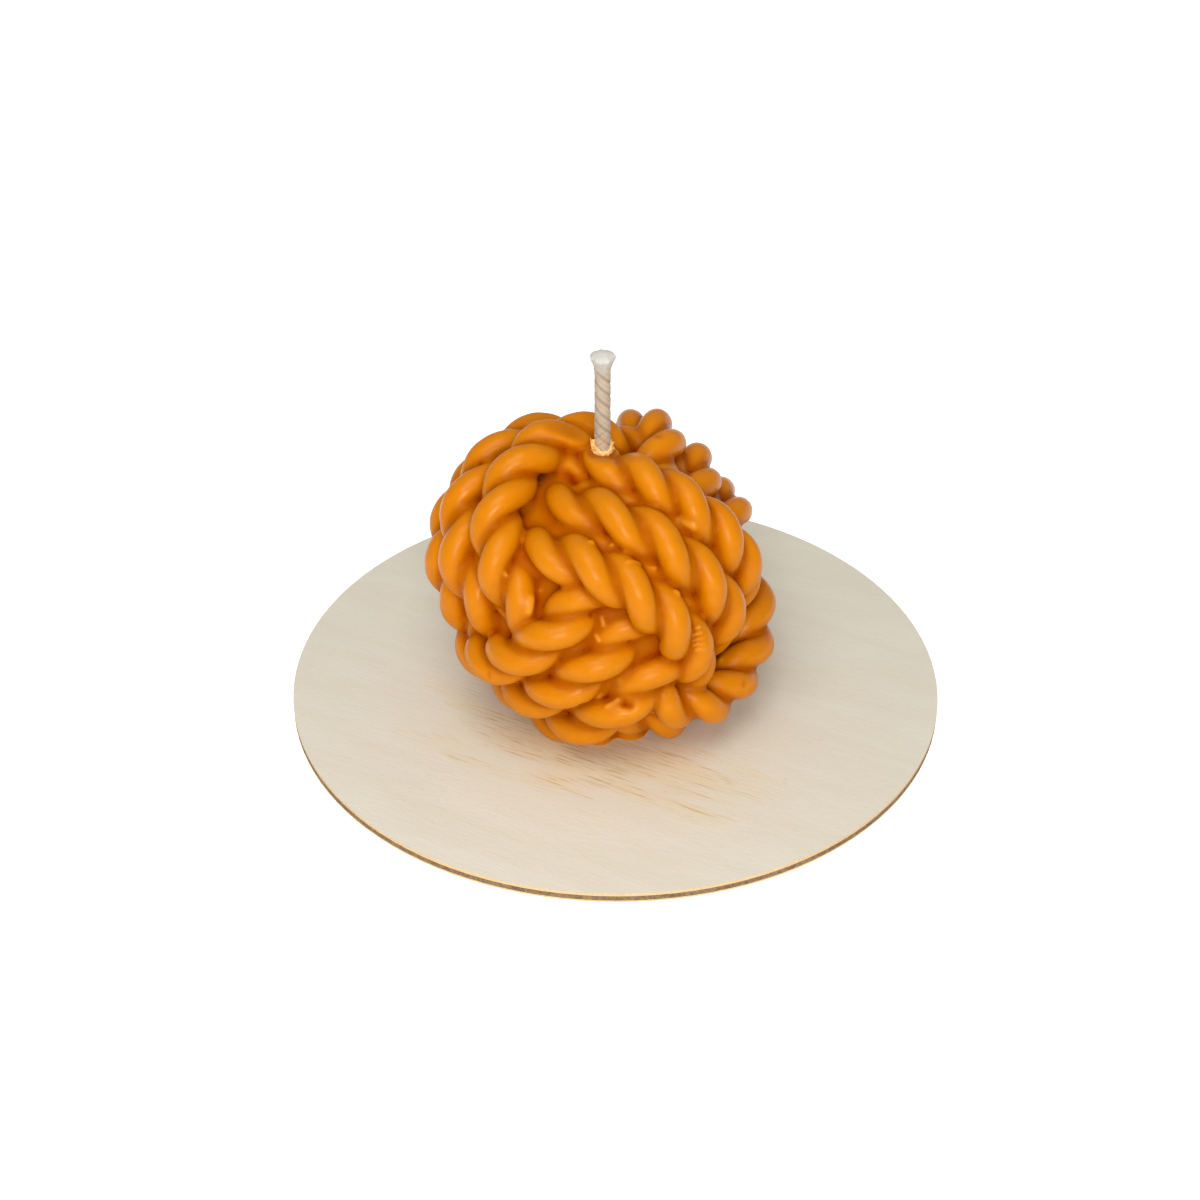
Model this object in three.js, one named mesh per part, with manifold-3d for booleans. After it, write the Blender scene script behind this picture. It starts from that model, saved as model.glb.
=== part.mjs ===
// Knot candle: a ball of wax cast as a rope knot, with a cotton wick, on a round plywood board.
// Millimetres, +Z up. The origin is the middle of the board's underside; the front faces -Y.

import * as THREE from 'three';
import { mergeVertices } from 'three/addons/utils/BufferGeometryUtils.js';
import Module from 'manifold-3d';

// The board: three plies, the middle one dark, and the two glue films between them.
const boardRadius = 65;
const faceVeneerThickness = 0.6;
const corePlyThickness = 0.8;
const backVeneerThickness = 0.4;
const glueFilmThickness = 0.1;
const boardSides = 120;

// Where the candle stands on the board, from the board's middle.
const candleRight = -2.625;
const candleForward = 5.5;

// The ball: its middle over the board, and the solid wax inside the ropes.
const ballMiddleHeight = 27;
const coreRadius = 25.5;

// The knot: three ropes lie side by side in each of three bundles at right angles.
const ropeSpacing = 9.9;
const overRadius = 29;
const underRadius = 21.3;
const passSharpness = 1.4;
const ropeReach = 74;

// One rope: two strands round its middle line, right-hand laid, and how far the wax
// that filled in between two ropes lies below their middle lines.
const strandCount = 2;
const strandRadius = 2.8;
const strandOffset = 2.2;
const webDrop = 2.2;

// How the bundles sit round the wick: a turn about it, then a lean of the whole knot.
const knotHeading = -59;
const knotLean = 9.7;
const knotLeanHeading = 45.6;
const thirdTurn = 120;

// How finely the ropes are drawn, and how near two corners of a mesh are the same one.
const strandStep = 0.5;
const gridSteps = 30;
const sameCorner = 1e-4;

// The wick, its flared tip, and the ring of pale wax round its foot.
const wickRadius = 1.5;
const wickFlareRadius = 2.3;
const wickFlareLength = 3.3;
const wickTipLength = 1.2;
const wickTipRadius = 1.6;
const wickTipRounding = 0.35;
const wickLength = 20.5;
const wickFootRecess = 0.5;
const boreClearance = 0.3;
const collarSeatHeight = 28.5;
const collarHeight = 2.25;
const collarRadius = 2.15;
const collarRounding = 0.25;
const collarClearance = 0.1;
const collarRoomClearance = 0.3;
const seatRadius = 3.2;
const dishDepth = 6;
const dishTopRadius = 13.5;
const roundSides = 24;

// Colours and how matt each is.
const waxLook = { color: 0xe38a1c, roughness: 0.4 };
const paleWaxLook = { color: 0xf0dcb8, roughness: 0.6 };
const cottonLook = { color: 0xd8cdbd, roughness: 0.95 };
const veneerLook = { color: 0xdcc9ac, roughness: 0.7 };
const coreLook = { color: 0x8f6a42, roughness: 0.8 };
const glueLook = { color: 0x5e4126, roughness: 0.7 };

// The six bundles of the ball: how far each lies sideways of its even place, how many degrees it
// slid along its ropes and turned, and for each of its ropes how far it lies outwards of its even
// place, where its twist stands at the bundle's middle, in degrees, and the length of one full
// twist.
const bundles = {
  front: {
    aside: 0.6, slide: -2, turn: -0.1,
    lifts: [-0.6, -0.8, -0.4], twists: [109, 103, 79], lays: [17.5, 20.6, 17.9]
  },
  back: {
    aside: 0, slide: 0, turn: 0,
    lifts: [0, 0, 0], twists: [20, 70, 110], lays: [18, 19, 18.5]
  },
  left: {
    aside: 0.2, slide: 0.4, turn: -0.3,
    lifts: [1.5, 2.1, 1.5], twists: [101, 90, 4], lays: [17.4, 20.7, 18.3]
  },
  right: {
    aside: -1, slide: -4.3, turn: -10.8,
    lifts: [4.8, 1.1, 3], twists: [118, 88, 42], lays: [18.4, 19.4, 18.4]
  },
  lower: {
    aside: -0.5, slide: 0.7, turn: -4.1,
    lifts: [-0.8, -2.3, -1.5], twists: [174, 48, 55], lays: [21.3, 18.7, 18.2]
  },
  upper: {
    aside: -0.4, slide: 7.4, turn: 4.6,
    lifts: [0.1, -0.3, 1.2], twists: [160, 52, 8], lays: [20.8, 19.7, 19.9]
  }
};

const boardThickness = faceVeneerThickness + corePlyThickness + backVeneerThickness
  + 2 * glueFilmThickness;

const wasm = await Module();
wasm.setup();

// A rope's middle line, in its own plane: out over its bundle and down under the next ones.
class RopePath extends THREE.Curve {
  constructor(aside, lift, slide) {
    super();
    this.aside = aside;
    this.over = Math.sqrt(overRadius ** 2 - aside ** 2) + lift;
    this.slide = THREE.MathUtils.degToRad(slide);
  }

  getPoint(t, target = new THREE.Vector3()) {
    const angle = THREE.MathUtils.degToRad(ropeReach) * (2 * t - 1);
    const pass = Math.tanh(passSharpness * Math.cos(2 * angle)) / Math.tanh(passSharpness);
    const radius = underRadius + (this.over - underRadius) * (1 + pass) / 2;
    const place = angle + this.slide;
    return target.set(radius * Math.cos(place), radius * Math.sin(place), this.aside);
  }
}

// The middle points of one rope's strands, for a rope that runs over +X in the XY plane.
function strandPoints(path, twist, layLength) {
  const length = path.getLength();
  const steps = Math.ceil(length / strandStep);
  const across = new THREE.Vector3(0, 0, 1);
  const points = [];
  for (let step = 0; step <= steps; step += 1) {
    const share = step / steps;
    const middle = path.getPointAt(share);
    const outward = new THREE.Vector3().crossVectors(path.getTangentAt(share), across);
    const lay = THREE.MathUtils.degToRad(twist) + 2 * Math.PI * (share - 0.5) * length / layLength;
    for (let strand = 0; strand < strandCount; strand += 1) {
      const angle = lay + 2 * Math.PI * strand / strandCount;
      points.push(middle.clone()
        .addScaledVector(outward, strandOffset * Math.cos(angle))
        .addScaledVector(across, -strandOffset * Math.sin(angle)));
    }
  }
  return points;
}

// Points set closely along a path.
function linePoints(path) {
  return path.getSpacedPoints(Math.ceil(path.getLength() / strandStep));
}

// A bundle's strands, the wax in the heart of its ropes and the webs between them, turned from +X
// to the bundle's own side of the knot.
function bundlePoints({ aside, slide, turn, lifts, twists, lays }, side) {
  const middle = (lifts.length - 1) / 2;
  const ropes = lifts.flatMap((lift, i) => {
    const path = new RopePath((i - middle) * ropeSpacing + aside, lift, slide);
    return [...strandPoints(path, twists[i], lays[i]), ...linePoints(path)];
  });
  const webs = lifts.slice(1).flatMap((lift, i) => {
    const webLift = (lifts[i] + lift) / 2 - webDrop;
    return linePoints(new RopePath((i + 0.5 - middle) * ropeSpacing + aside, webLift, slide));
  });
  const toSide = side.clone()
    .multiply(new THREE.Matrix4().makeRotationX(THREE.MathUtils.degToRad(turn)));
  return [...ropes, ...webs].map((point) => point.applyMatrix4(toSide));
}

// All strands, hearts and webs of the ball in the knot's own frame: front on +X, left on +Y and
// lower on +Z.
function knotPoints() {
  const toNext = new THREE.Matrix4().makeBasis(
    new THREE.Vector3(0, 1, 0),
    new THREE.Vector3(0, 0, 1),
    new THREE.Vector3(1, 0, 0)
  );
  const halfTurn = new THREE.Matrix4().makeRotationZ(Math.PI);
  const pairs = [
    [bundles.front, bundles.back],
    [bundles.left, bundles.right],
    [bundles.lower, bundles.upper]
  ];
  const side = new THREE.Matrix4();
  return pairs.flatMap(([near, far]) => {
    const points = [
      ...bundlePoints(near, side),
      ...bundlePoints(far, side.clone().multiply(halfTurn))
    ];
    side.multiply(toNext);
    return points;
  });
}

// How far the wax reaches from the ball's middle along a ray: the outermost strand or web, or
// the core.
function waxReach(ray, points) {
  let reach = coreRadius;
  for (const point of points) {
    const along = ray.dot(point);
    const inside = strandRadius ** 2 - point.lengthSq() + along ** 2;
    if (inside > 0) {
      reach = Math.max(reach, along + Math.sqrt(inside));
    }
  }
  return reach;
}

// The wax's surface along a ray from the ball's middle.
function waxPoint(ray, points) {
  const unit = ray.clone().normalize();
  return unit.multiplyScalar(waxReach(unit, points));
}

// The ball's skin: a cube's even grid, whose rows run along the ropes, drawn out to the wax.
function knotSkin() {
  const cube = new THREE.BoxGeometry(2, 2, 2, gridSteps, gridSteps, gridSteps);
  cube.deleteAttribute('normal');
  cube.deleteAttribute('uv');
  const skin = mergeVertices(cube, sameCorner);
  const points = knotPoints();
  const { position } = skin.attributes;
  const corners = [];
  for (let i = 0; i < position.count; i += 1) {
    const onCube = new THREE.Vector3().fromBufferAttribute(position, i).toArray();
    const ray = new THREE.Vector3(...onCube.map((value) => Math.tan(value * Math.PI / 4)));
    corners.push(waxPoint(ray, points));
    position.setXYZ(i, ...corners[i].toArray());
  }
  skin.setIndex(cellTriangles(Array.from(skin.index.array), corners, points));
  return skin;
}

// Each cell of the grid is split along the diagonal that lies nearer to the wax.
function cellTriangles(index, corners, points) {
  const triangles = [];
  for (let i = 0; i < index.length; i += 6) {
    const [a, b, d, , c] = index.slice(i, i + 6);
    const across = corners[b].clone().add(corners[d]).divideScalar(2);
    const along = corners[a].clone().add(corners[c]).divideScalar(2);
    const wax = waxPoint(across.clone().add(along), points);
    if (wax.distanceTo(across) < wax.distanceTo(along)) {
      triangles.push(a, b, d, b, c, d);
    } else {
      triangles.push(a, b, c, a, c, d);
    }
  }
  return triangles;
}

// A closed geometry as a solid that can be joined and cut.
function toSolid(geometry) {
  const bare = geometry.clone();
  bare.deleteAttribute('normal');
  bare.deleteAttribute('uv');
  const merged = mergeVertices(bare, sameCorner);
  return new wasm.Manifold(new wasm.Mesh({
    numProp: 3,
    vertProperties: Float32Array.from(merged.attributes.position.array),
    triVerts: Uint32Array.from(merged.index.array)
  }));
}

function toGeometry(solid) {
  const mesh = solid.getMesh();
  const geometry = new THREE.BufferGeometry();
  geometry.setAttribute('position', new THREE.BufferAttribute(mesh.vertProperties, 3));
  geometry.setIndex(new THREE.BufferAttribute(mesh.triVerts, 1));
  return geometry;
}

// An upright cylinder between two heights.
function uprightCylinder(radius, bottom, top, sides) {
  return new THREE.CylinderGeometry(radius, radius, top - bottom, sides)
    .rotateX(Math.PI / 2)
    .translate(0, 0, (bottom + top) / 2);
}

// The knot's frame: three axes at right angles, evenly round the wick, then leaned as cast.
function knotFrame() {
  const rise = Math.asin(1 / Math.sqrt(3));
  const leanHeading = THREE.MathUtils.degToRad(knotLeanHeading);
  const hinge = new THREE.Vector3(-Math.sin(leanHeading), Math.cos(leanHeading), 0);
  const axisAt = (heading) => {
    const turn = THREE.MathUtils.degToRad(heading);
    return new THREE.Vector3(
      Math.cos(rise) * Math.cos(turn),
      Math.cos(rise) * Math.sin(turn),
      Math.sin(rise)
    ).applyAxisAngle(hinge, THREE.MathUtils.degToRad(knotLean));
  };
  const front = axisAt(knotHeading);
  const left = axisAt(knotHeading - thirdTurn);
  const lower = new THREE.Vector3().crossVectors(front, left);
  return new THREE.Matrix4().makeBasis(front, left, lower);
}

// The wax: one casting, sunk to a flat seat for the collar, bored for the wick, cut flat below.
function waxBody() {
  const beyond = 2 * overRadius;
  const seat = uprightCylinder(seatRadius, 0, collarSeatHeight, roundSides);
  const dish = new THREE.CylinderGeometry(
    dishTopRadius, collarRadius + collarRoomClearance, dishDepth, roundSides
  ).rotateX(Math.PI / 2).translate(0, 0, collarSeatHeight + dishDepth / 2);
  const bore = uprightCylinder(wickRadius + boreClearance, -beyond, beyond, roundSides);
  const below = new THREE.BoxGeometry(2 * beyond, 2 * beyond, beyond)
    .translate(0, 0, -ballMiddleHeight - beyond / 2);
  const wax = toSolid(knotSkin().applyMatrix4(knotFrame()))
    .add(toSolid(seat))
    .subtract(toSolid(dish))
    .subtract(toSolid(bore))
    .subtract(toSolid(below));
  return toGeometry(wax);
}

// The wick: a round braid from the ball's foot to a flared, rounded tip.
function wickBody() {
  const foot = -ballMiddleHeight + wickFootRecess;
  const tip = collarSeatHeight + wickLength;
  const flareStart = tip - wickFlareLength;
  const profile = [
    new THREE.Vector2(0, foot),
    new THREE.Vector2(wickRadius, foot),
    new THREE.Vector2(wickRadius, flareStart),
    new THREE.Vector2(wickFlareRadius, tip - wickTipLength),
    new THREE.Vector2(wickTipRadius, tip - wickTipRounding),
    new THREE.Vector2(0, tip)
  ];
  return new THREE.LatheGeometry(profile, roundSides).rotateX(Math.PI / 2);
}

// The ring of pale wax that set round the wick's foot, on its flat seat.
function wickCollar() {
  const bore = wickRadius + collarClearance;
  const top = collarSeatHeight + collarHeight;
  const profile = [
    new THREE.Vector2(bore, collarSeatHeight),
    new THREE.Vector2(collarRadius - collarRounding, collarSeatHeight),
    new THREE.Vector2(collarRadius, collarSeatHeight + collarRounding),
    new THREE.Vector2(collarRadius, top - collarRounding),
    new THREE.Vector2(collarRadius - collarRounding, top),
    new THREE.Vector2(bore, top),
    new THREE.Vector2(bore, collarSeatHeight)
  ];
  return new THREE.LatheGeometry(profile, roundSides).rotateX(Math.PI / 2);
}

function piece(name, geometry, look) {
  const material = new THREE.MeshStandardMaterial({ ...look, metalness: 0 });
  const mesh = new THREE.Mesh(geometry, material);
  mesh.name = name;
  return mesh;
}

// The board, laid up from its underside.
function boardPieces() {
  const layers = [
    ['back_veneer', backVeneerThickness, veneerLook],
    ['glue_film_lower', glueFilmThickness, glueLook],
    ['core_ply', corePlyThickness, coreLook],
    ['glue_film_upper', glueFilmThickness, glueLook],
    ['face_veneer', faceVeneerThickness, veneerLook]
  ];
  const group = new THREE.Group();
  let bottom = 0;
  for (const [name, thickness, look] of layers) {
    const top = bottom + thickness;
    group.add(piece(name, uprightCylinder(boardRadius, bottom, top, boardSides), look));
    bottom = top;
  }
  return group;
}

function candlePieces() {
  const group = new THREE.Group();
  group.add(piece('wax_body', waxBody(), waxLook));
  group.add(piece('wick', wickBody(), cottonLook));
  group.add(piece('wick_collar', wickCollar(), paleWaxLook));
  group.position.set(candleRight, -candleForward, boardThickness + ballMiddleHeight);
  return group;
}

const knotCandle = new THREE.Group();
knotCandle.add(boardPieces());
knotCandle.add(candlePieces());

export default knotCandle;
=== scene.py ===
import bpy, bmesh, math, random
import numpy as np
from mathutils import Matrix, Vector, noise


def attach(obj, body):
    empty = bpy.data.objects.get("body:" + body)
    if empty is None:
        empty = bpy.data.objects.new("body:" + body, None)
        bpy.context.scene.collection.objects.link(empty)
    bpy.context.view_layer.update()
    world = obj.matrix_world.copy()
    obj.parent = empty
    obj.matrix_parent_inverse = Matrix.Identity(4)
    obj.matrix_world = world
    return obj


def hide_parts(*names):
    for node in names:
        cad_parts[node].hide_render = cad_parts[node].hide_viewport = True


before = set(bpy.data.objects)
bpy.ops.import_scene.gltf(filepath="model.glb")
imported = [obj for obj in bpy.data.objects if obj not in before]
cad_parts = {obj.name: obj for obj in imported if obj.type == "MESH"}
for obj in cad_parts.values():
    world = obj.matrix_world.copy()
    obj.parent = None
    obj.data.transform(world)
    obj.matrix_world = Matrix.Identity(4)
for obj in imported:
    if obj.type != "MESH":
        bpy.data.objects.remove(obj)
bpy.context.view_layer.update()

mm = 0.001


# small helpers

def meshObject(name, points, faces, body, replaced=()):
    mesh = bpy.data.meshes.new(name)
    mesh.from_pydata([tuple(p) for p in np.asarray(points) * mm], [], [list(f) for f in faces])
    mesh.validate()
    mesh.update()
    return placeObject(name, mesh, body, replaced)


def placeObject(name, mesh, body, replaced=()):
    piece = bpy.data.objects.new(name, mesh)
    bpy.context.scene.collection.objects.link(piece)
    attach(piece, body)
    if replaced:
        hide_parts(*replaced)
    return piece


def smoothShade(mesh, sharpAbove=55):
    mesh.shade_smooth()
    mesh.set_sharp_from_angle(angle=math.radians(sharpAbove))


def tube(points, radii, sides, sideways):
    # a closed tube round a line of points; sideways, one for all or one for each point, keeps
    # the rings from twisting
    points = np.asarray(points, float)
    radii = np.broadcast_to(radii, len(points))
    along = np.gradient(points, axis=0)
    along /= np.linalg.norm(along, axis=1)[:, None]
    side = np.cross(along, sideways)
    side /= np.linalg.norm(side, axis=1)[:, None]
    out = np.cross(side, along)
    turn = np.linspace(0, 2 * math.pi, sides, endpoint=False)
    ring = np.cos(turn)[None, :, None] * side[:, None] + np.sin(turn)[None, :, None] * out[:, None]
    rings = points[:, None] + radii[:, None, None] * ring
    domed = 0.6  # how far the end caps stand out, as a share of the radius
    firstCap = points[0] - along[0] * radii[0] * domed
    lastCap = points[-1] + along[-1] * radii[-1] * domed
    verts = np.concatenate([rings.reshape(-1, 3), [firstCap, lastCap]])
    faces = []
    count = len(points)
    for i in range(count - 1):
        for j in range(sides):
            k = (j + 1) % sides
            faces.append((i * sides + j, i * sides + k, (i + 1) * sides + k, (i + 1) * sides + j))
    for j in range(sides):
        k = (j + 1) % sides
        faces.append((count * sides, k, j))
        last = (count - 1) * sides
        faces.append((count * sides + 1, last + j, last + k))
    return verts, faces


def joined(parts):
    verts, faces, start = [], [], 0
    for points, polygons in parts:
        verts.append(points)
        faces += [[start + i for i in polygon] for polygon in polygons]
        start += len(points)
    return np.concatenate(verts), faces


def ball(middle, radius, fineness=2):
    bm = bmesh.new()
    bmesh.ops.create_icosphere(bm, subdivisions=fineness, radius=radius)
    points = np.array([v.co[:] for v in bm.verts]) + middle
    faces = [[v.index for v in f.verts] for f in bm.faces]
    bm.free()
    return points, faces


def remeshed(points, faces, voxel):
    # one closed skin over overlapping closed shapes, in millimetres
    mesh = bpy.data.meshes.new("remeshing")
    mesh.from_pydata([tuple(p) for p in points], [], faces)
    mesh.update()
    rough = bpy.data.objects.new("remeshing", mesh)
    bpy.context.scene.collection.objects.link(rough)
    remesh = rough.modifiers.new("skin", "REMESH")
    remesh.mode = "VOXEL"
    remesh.voxel_size = voxel
    done = bpy.data.meshes.new_from_object(rough.evaluated_get(bpy.context.evaluated_depsgraph_get()))
    bpy.data.objects.remove(rough)
    bpy.data.meshes.remove(mesh)
    return done


def meshArrays(mesh):
    points = np.empty(len(mesh.vertices) * 3)
    mesh.vertices.foreach_get("co", points)
    edges = np.empty(len(mesh.edges) * 2, dtype=np.int64)
    mesh.edges.foreach_get("vertices", edges)
    return points.reshape(-1, 3), edges.reshape(-1, 2)


def neighbourMean(points, edges, count):
    total = np.zeros_like(points)
    for a, b in ((0, 1), (1, 0)):
        for axis in range(points.shape[1]):
            total[:, axis] += np.bincount(edges[:, a], points[edges[:, b], axis], len(points))
    return total / count[:, None]


def relaxed(points, edges, rounds, push=0.5, pull=-0.53):
    # evens out the voxel steps and keeps the volume
    count = np.maximum(np.bincount(edges.ravel(), minlength=len(points)), 1)
    for _ in range(rounds):
        for share in (push, pull):
            if share:
                points = points + share * (neighbourMean(points, edges, count) - points)
    return points


def largestShell(mesh):
    # drops the closed hollows that a remesh leaves inside
    points, edges = meshArrays(mesh)
    label = np.arange(len(points))
    while True:
        before = label.copy()
        low = np.minimum(label[edges[:, 0]], label[edges[:, 1]])
        np.minimum.at(label, edges[:, 0], low)
        np.minimum.at(label, edges[:, 1], low)
        label = label[label]
        if np.array_equal(label, before):
            break
    names, sizes = np.unique(label, return_counts=True)
    keep = label == names[np.argmax(sizes)]
    bm = bmesh.new()
    bm.from_mesh(mesh)
    bm.verts.ensure_lookup_table()
    bmesh.ops.delete(bm, geom=[v for v in bm.verts if not keep[v.index]], context="VERTS")
    bm.to_mesh(mesh)
    bm.free()
    return mesh


def setPoints(mesh, points):
    mesh.vertices.foreach_set("co", np.ascontiguousarray(points, dtype=np.float32).ravel())
    mesh.update()


def surfaceNormals(mesh):
    normals = np.empty(len(mesh.vertices) * 3)
    mesh.vertices.foreach_get("normal", normals)
    return normals.reshape(-1, 3)


def addValues(mesh, name, values):
    layer = mesh.attributes.new(name, "FLOAT", "POINT")
    layer.data.foreach_set("value", np.ascontiguousarray(values, dtype=np.float32))


def linear(red, green, blue):
    # the colour picker's 0 to 255 as the linear values that shaders take
    def one(v):
        v /= 255
        return v / 12.92 if v <= 0.04045 else ((v + 0.055) / 1.055) ** 2.4
    return (one(red), one(green), one(blue), 1.0)


# shader node groups and materials

class Nodes:
    # lays nodes out from left to right and links them by socket name
    def __init__(self, tree):
        self.tree = tree
        self.column = 0

    def add(self, kind, inputs=None, **settings):
        node = self.tree.nodes.new(kind)
        node.location = (self.column * 190 - 1500, -120 * (self.column % 3))
        self.column += 1
        for name, value in settings.items():
            setattr(node, name, value)
        for name, value in (inputs or {}).items():
            if isinstance(value, bpy.types.NodeSocket):
                self.tree.links.new(value, node.inputs[name])
            else:
                node.inputs[name].default_value = value
        return node

    def mixColour(self, mask, first, second):
        node = self.add("ShaderNodeMix", data_type="RGBA")
        for index, value in ((0, mask), (6, first), (7, second)):
            if isinstance(value, bpy.types.NodeSocket):
                self.tree.links.new(value, node.inputs[index])
            else:
                node.inputs[index].default_value = value
        return node.outputs[2]

    def span(self, value, low, high, toLow=0.0, toHigh=1.0):
        return self.add("ShaderNodeMapRange", {"Value": value, "From Min": low, "From Max": high,
                                               "To Min": toLow, "To Max": toHigh}).outputs[0]

    def math(self, operation, first, second=None):
        node = self.add("ShaderNodeMath", operation=operation)
        for index, value in enumerate((first, second)):
            if isinstance(value, bpy.types.NodeSocket):
                self.tree.links.new(value, node.inputs[index])
            elif value is not None:
                node.inputs[index].default_value = value
        return node.outputs[0]


def startGroup(name, inputs, outputs):
    tree = bpy.data.node_groups.new(name, "ShaderNodeTree")
    for label, kind, value in inputs:
        socket = tree.interface.new_socket(label, in_out="INPUT", socket_type="NodeSocket" + kind)
        if value is not None:
            socket.default_value = value
    for label, kind in outputs:
        tree.interface.new_socket(label, in_out="OUTPUT", socket_type="NodeSocket" + kind)
    nodes = Nodes(tree)
    return tree, nodes, nodes.add("NodeGroupInput"), nodes.add("NodeGroupOutput")


def cloudGroup():
    # soft patches at two scales, for colour that is never quite even
    tree, nodes, given, result = startGroup(
        "softClouds",
        [("Vector", "Vector", None), ("Patch Size", "Float", 0.01), ("Fine Size", "Float", 0.001)],
        [("Patches", "Float"), ("Fine", "Float")])
    for name, sizeName in (("Patches", "Patch Size"), ("Fine", "Fine Size")):
        scale = nodes.math("DIVIDE", 1.0, given.outputs[sizeName])
        cloud = nodes.add("ShaderNodeTexNoise", {"Vector": given.outputs["Vector"], "Scale": scale,
                                                 "Detail": 3.0, "Roughness": 0.55})
        tree.links.new(nodes.span(cloud.outputs[0], 0.3, 0.7), result.inputs[name])
    return tree


def grainGroup():
    # wood fibres and pores that run along one heading across the board
    tree, nodes, given, result = startGroup(
        "woodFibres",
        [("Vector", "Vector", None), ("Heading", "Float", 0.0), ("Fibre Width", "Float", 0.0006),
         ("Stretch", "Float", 14.0)],
        [("Fibres", "Float"), ("Pores", "Float"), ("Bands", "Float")])
    angles = {"Vector": given.outputs["Vector"], "Angle": given.outputs["Heading"]}
    turned = nodes.add("ShaderNodeVectorRotate", angles, rotation_type="Z_AXIS")
    parts = nodes.add("ShaderNodeSeparateXYZ", {"Vector": turned.outputs[0]})
    squeezed = nodes.math("DIVIDE", parts.outputs["X"], given.outputs["Stretch"])
    lined = nodes.add("ShaderNodeCombineXYZ", {"X": squeezed, "Y": parts.outputs["Y"],
                                               "Z": parts.outputs["Z"]})
    scale = nodes.math("DIVIDE", 1.0, given.outputs["Fibre Width"])
    fibres = nodes.add("ShaderNodeTexNoise", {"Vector": lined.outputs[0], "Scale": scale, "Detail": 4.0,
                                              "Roughness": 0.6})
    poreScale = nodes.math("MULTIPLY", scale, 0.55)
    pores = nodes.add("ShaderNodeTexVoronoi", {"Vector": lined.outputs[0], "Scale": poreScale,
                                               "Randomness": 1.0})
    bandScale = nodes.math("MULTIPLY", scale, 0.09)
    bands = nodes.add("ShaderNodeTexNoise", {"Vector": lined.outputs[0], "Scale": bandScale, "Detail": 2.0,
                                             "Distortion": 0.4})
    tree.links.new(nodes.span(fibres.outputs[0], 0.32, 0.68), result.inputs["Fibres"])
    tree.links.new(nodes.span(pores.outputs["Distance"], 0.05, 0.16, 1.0, 0.0), result.inputs["Pores"])
    tree.links.new(nodes.span(bands.outputs[0], 0.35, 0.65), result.inputs["Bands"])
    return tree


softClouds = cloudGroup()
woodFibres = grainGroup()


def startMaterial(name):
    material = bpy.data.materials.new(name)
    material.use_nodes = True
    tree = material.node_tree
    tree.nodes.clear()
    nodes = Nodes(tree)
    place = nodes.add("ShaderNodeTexCoord").outputs["Object"]
    shader = nodes.add("ShaderNodeBsdfPrincipled")
    shader.location = (1200, 0)
    output = nodes.add("ShaderNodeOutputMaterial")
    output.location = (1500, 0)
    tree.links.new(shader.outputs[0], output.inputs["Surface"])
    return material, tree, nodes, place, shader


def useGroup(nodes, group, inputs):
    node = nodes.add("ShaderNodeGroup")
    node.node_tree = group
    for name, value in inputs.items():
        if isinstance(value, bpy.types.NodeSocket):
            nodes.tree.links.new(value, node.inputs[name])
        else:
            node.inputs[name].default_value = value
    return node


def bump(nodes, shader, height, distance, strength):
    node = nodes.add("ShaderNodeBump", {"Height": height, "Distance": distance, "Strength": strength})
    nodes.tree.links.new(node.outputs[0], shader.inputs["Normal"])


# camera, light and floor

camera = {
    "place": (-3.09, -319.49, 242.67),  # millimetres from the middle of the board's underside
    "downTilt": 34.89,
    "lens": 58.93,
}

lighting = {
    "roomLight": 0.38,
    "overhead": {"place": (-80, -270, 540), "size": 400, "power": 1.68},
    "front": {"place": (30, -720, 320), "size": 320, "power": 3.4},
}


def aimed(thing, target):
    thing.rotation_euler = (Vector(target) - thing.location).to_track_quat("-Z", "Y").to_euler()


def addCamera():
    lens = bpy.data.cameras.new("photoCamera")
    lens.lens = camera["lens"]
    lens.sensor_width = 36
    lens.clip_start = 0.01
    lens.clip_end = 20
    eye = bpy.data.objects.new("photoCamera", lens)
    eye.location = Vector(camera["place"]) * mm
    eye.rotation_euler = (math.radians(90 - camera["downTilt"]), 0, 0)
    bpy.context.scene.collection.objects.link(eye)
    bpy.context.scene.camera = eye


def addLights():
    world = bpy.data.worlds.new("room")
    bpy.context.scene.world = world
    world.use_nodes = True
    tree = world.node_tree
    tree.nodes.clear()
    nodes = Nodes(tree)
    path = nodes.add("ShaderNodeLightPath")
    room = nodes.add("ShaderNodeBackground", {"Color": (1, 1, 1, 1), "Strength": lighting["roomLight"]})
    white = nodes.add("ShaderNodeBackground", {"Color": (1, 1, 1, 1), "Strength": 1.0})
    seen = nodes.math("MAXIMUM", path.outputs["Is Camera Ray"], path.outputs["Is Transmission Ray"])
    mix = nodes.add("ShaderNodeMixShader", {0: seen, 1: room.outputs[0], 2: white.outputs[0]})
    out = nodes.add("ShaderNodeOutputWorld")
    tree.links.new(mix.outputs[0], out.inputs["Surface"])
    for name in ("overhead", "front"):
        facts = lighting[name]
        lamp = bpy.data.lights.new(name + "Lamp", "AREA")
        lamp.shape = "DISK"
        lamp.size = facts["size"] * mm
        lamp.energy = facts["power"]
        thing = bpy.data.objects.new(name + "Lamp", lamp)
        thing.location = Vector(facts["place"]) * mm
        bpy.context.scene.collection.objects.link(thing)
        aimed(thing, (0, 0, 0.02))


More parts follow.
